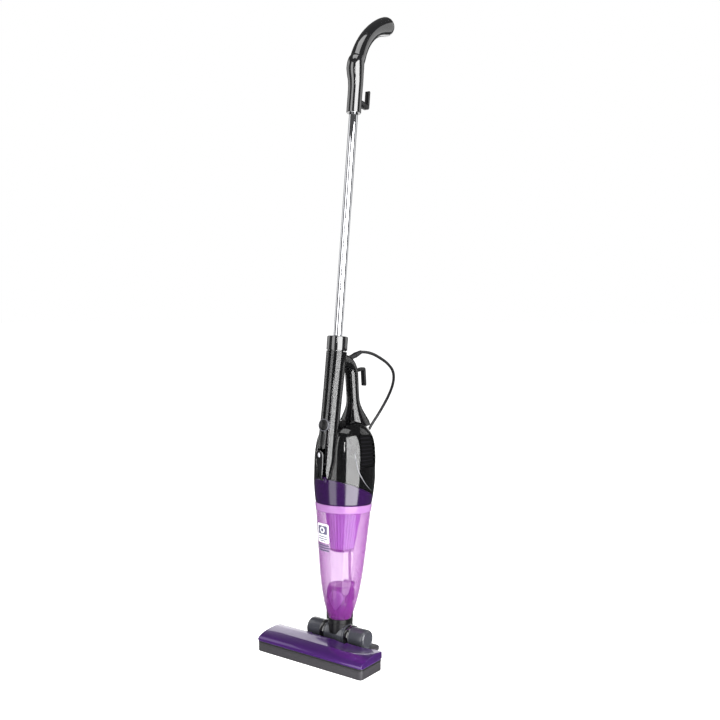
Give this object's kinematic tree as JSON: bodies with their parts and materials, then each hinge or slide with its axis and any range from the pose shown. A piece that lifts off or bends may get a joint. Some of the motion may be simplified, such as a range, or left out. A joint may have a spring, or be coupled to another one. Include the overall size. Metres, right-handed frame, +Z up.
{
  "type": "stick vacuum cleaner",
  "caption": "Upright corded stick vacuum cleaner with a lift-off hand unit, clear dust bin, steel pole and low floor head.",
  "frame": {"origin": "on the floor, at the centre of the floor head's sole", "axes": "+X across the floor head to its right, +Y to the back, +Z up"},
  "size_m": [0.2697, 0.3054, 1.1645],
  "materials": {
    "base_plastic": "fine texture",
    "purple_shell": "metallic gloss",
    "purple_plastic": "gloss",
    "black_gloss": "gloss",
    "black_plastic": "satin",
    "neck_plastic": "satin",
    "clear_plastic": "clear, tinted",
    "seal_rubber": "matte",
    "wheel_rubber": "matte",
    "bristle": "bristle",
    "steel": "plain",
    "chrome_tube": "polished",
    "filter_cloth": "pleated",
    "foam": "open cell",
    "label": "plain sticker",
    "motor_steel": "plain",
    "aluminium_part": "machined",
    "copper_part": "plain",
    "carbon": "matte",
    "lead_cover": "satin",
    "pin_brass": "plain"
  },
  "bodies": {
    "floor_head": {"head_base": "base_plastic", "head_cover": "purple_shell", "bumper_strip": "seal_rubber", "bristle_strips": "bristle", "hinge_cap_left": "neck_plastic", "hinge_cap_right": "neck_plastic", "head_screws": "steel", "wheel_axles": "steel"},
    "left_wheel": {"wheel_left": "wheel_rubber"},
    "right_wheel": {"wheel_right": "wheel_rubber"},
    "neck": {"neck_elbow": "neck_plastic", "neck_seals": "seal_rubber"},
    "dust_bin": {"bin_cup": "clear_plastic", "inlet_tower": "purple_plastic", "bin_ring": "purple_plastic", "filter_frame": "clear_plastic", "filter_cup": "filter_cloth", "foam_filter": "foam", "label_plate": "label"},
    "flap": {"inlet_flap": "purple_plastic"},
    "hand_unit": {"housing_left": "black_gloss", "housing_right": "black_gloss", "pole_collar": "black_gloss", "pole_sleeve": "black_plastic", "housing_screws": "steel", "vent_grilles": "black_plastic", "exhaust_foam": "foam", "motor_can": "motor_steel", "fan_cover": "aluminium_part", "motor_mount": "seal_rubber", "front_bearing": "steel", "rear_bearing": "steel", "carbon_brushes": "carbon", "switch_block": "black_plastic", "inner_lead": "lead_cover", "button_bezel": "black_gloss", "front_inlay": "black_plastic", "latch_pin": "steel", "lower_cord_hook": "black_plastic", "strain_relief": "lead_cover", "cord_run": "lead_cover", "cord_hank": "lead_cover", "cord_tie": "seal_rubber", "plug_body": "lead_cover", "plug_pins": "pin_brass", "plug_lead": "lead_cover"},
    "button": {"power_button": "black_plastic"},
    "latch": {"bin_latch": "black_gloss"},
    "rotor": {"motor_shaft": "steel", "armature": "motor_steel", "commutator": "copper_part", "impeller": "aluminium_part"},
    "handle": {"pole": "chrome_tube", "handle_left": "black_gloss", "handle_right": "black_gloss", "handle_screws": "steel", "hook_pivot": "black_plastic"},
    "hook": {"upper_cord_hook": "black_plastic"}
  },
  "joints": [
    {"name": "left_wheel_spin", "type": "hinge", "parent": "floor_head", "child": "left_wheel", "pos_m": [-0.04, 0.088, 0.009], "axis": [1, 0, 0], "continuous": true},
    {"name": "right_wheel_spin", "type": "hinge", "parent": "floor_head", "child": "right_wheel", "pos_m": [0.04, 0.088, 0.009], "axis": [1, 0, 0], "continuous": true},
    {"name": "neck_tilt", "type": "hinge", "parent": "floor_head", "child": "neck", "pos_m": [0, 0.062, 0.03], "axis": [-1, 0, 0], "range_deg": [-3, 78]},
    {"name": "bin_lift", "type": "slide", "parent": "neck", "child": "dust_bin", "axis": [0, 0.0558, 0.9984], "range_m": [0, 0.03]},
    {"name": "flap_swing", "type": "hinge", "parent": "dust_bin", "child": "flap", "pos_m": [0, 0.09291, 0.11701], "axis": [-1, 0, 0], "range_deg": [0, 65]},
    {"name": "unit_lift", "type": "slide", "parent": "dust_bin", "child": "hand_unit", "axis": [0, 0.0558, 0.9984], "range_m": [0, 0.05]},
    {"name": "button_press", "type": "slide", "parent": "hand_unit", "child": "button", "axis": [0, 0.9876, -0.1573], "range_m": [0, 0.003], "stiffness_N_per_m": 400, "springref_m": -0.001},
    {"name": "latch_swing", "type": "hinge", "parent": "hand_unit", "child": "latch", "pos_m": [0, 0.01599, 0.34665], "axis": [-1, 0, 0], "range_deg": [0, 7], "stiffness_Nm_per_rad": 0.4, "springref_deg": -5.73},
    {"name": "motor_spin", "type": "hinge", "parent": "hand_unit", "child": "rotor", "pos_m": [0, 0.07875, 0.32953], "axis": [0, 0.0558, 0.9984], "continuous": true},
    {"name": "pole_slide", "type": "slide", "parent": "hand_unit", "child": "handle", "axis": [0, 0.1193, 0.9929], "range_m": [0, 0.1]},
    {"name": "hook_turn", "type": "hinge", "parent": "handle", "child": "hook", "pos_m": [0, 0.10928, 0.99248], "axis": [0, 0.9929, -0.1193], "range_deg": [0, 180]}
  ]
}
